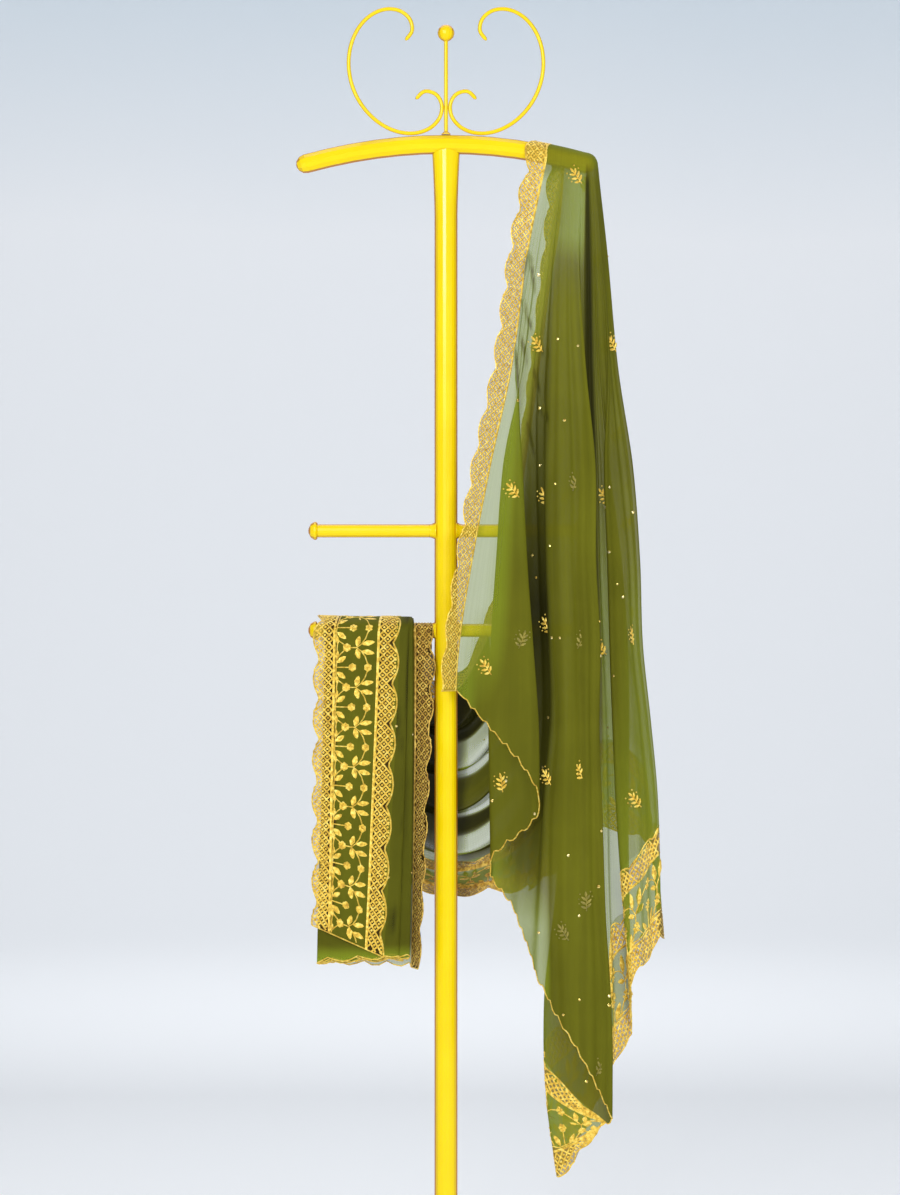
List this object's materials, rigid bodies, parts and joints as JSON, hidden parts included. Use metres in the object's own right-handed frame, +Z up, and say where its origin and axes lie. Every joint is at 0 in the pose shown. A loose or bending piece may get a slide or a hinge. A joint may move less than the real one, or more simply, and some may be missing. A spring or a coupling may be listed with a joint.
{
  "type": "dupatta stole on a display stand",
  "caption": "Long sheer stole with scalloped lattice and floral borders, hung over a stand's bar, swagged behind its pole and folded over a peg.",
  "frame": {"origin": "the floor, at the centre of the base plate's underside, below the pole's axis", "axes": "+Z up the pole, -Y towards the viewer of the picture, +X to the viewer's right, along the bar"},
  "size_m": [0.4798, 0.38, 1.7988],
  "materials": {
    "yellow_paint": "glossy yellow enamel on steel tube and plate",
    "sheer_olive": "sheer olive net, one layer, with small gold sprigs and sequins",
    "gold_lace": "gold thread embroidery on the same sheer olive net"
  },
  "bodies": {
    "root": {"base": "yellow_paint", "base_socket": "yellow_paint", "pole": "yellow_paint", "bar": "yellow_paint", "peg_upper_left": "yellow_paint", "peg_upper_right": "yellow_paint", "peg_lower_left": "yellow_paint", "peg_lower_right": "yellow_paint", "scroll_left": "yellow_paint", "scroll_right": "yellow_paint", "finial_ball": "yellow_paint", "front_fall": "sheer_olive", "back_field": "sheer_olive", "swag_field": "sheer_olive", "peg_field": "sheer_olive", "narrow_band_front": "gold_lace", "narrow_band_back": "gold_lace", "narrow_band_swag": "gold_lace", "narrow_band_peg": "gold_lace", "wide_border_front": "gold_lace", "wide_border_back": "gold_lace", "wide_border_swag": "gold_lace", "wide_border_peg": "gold_lace"}
  },
  "joints": []
}
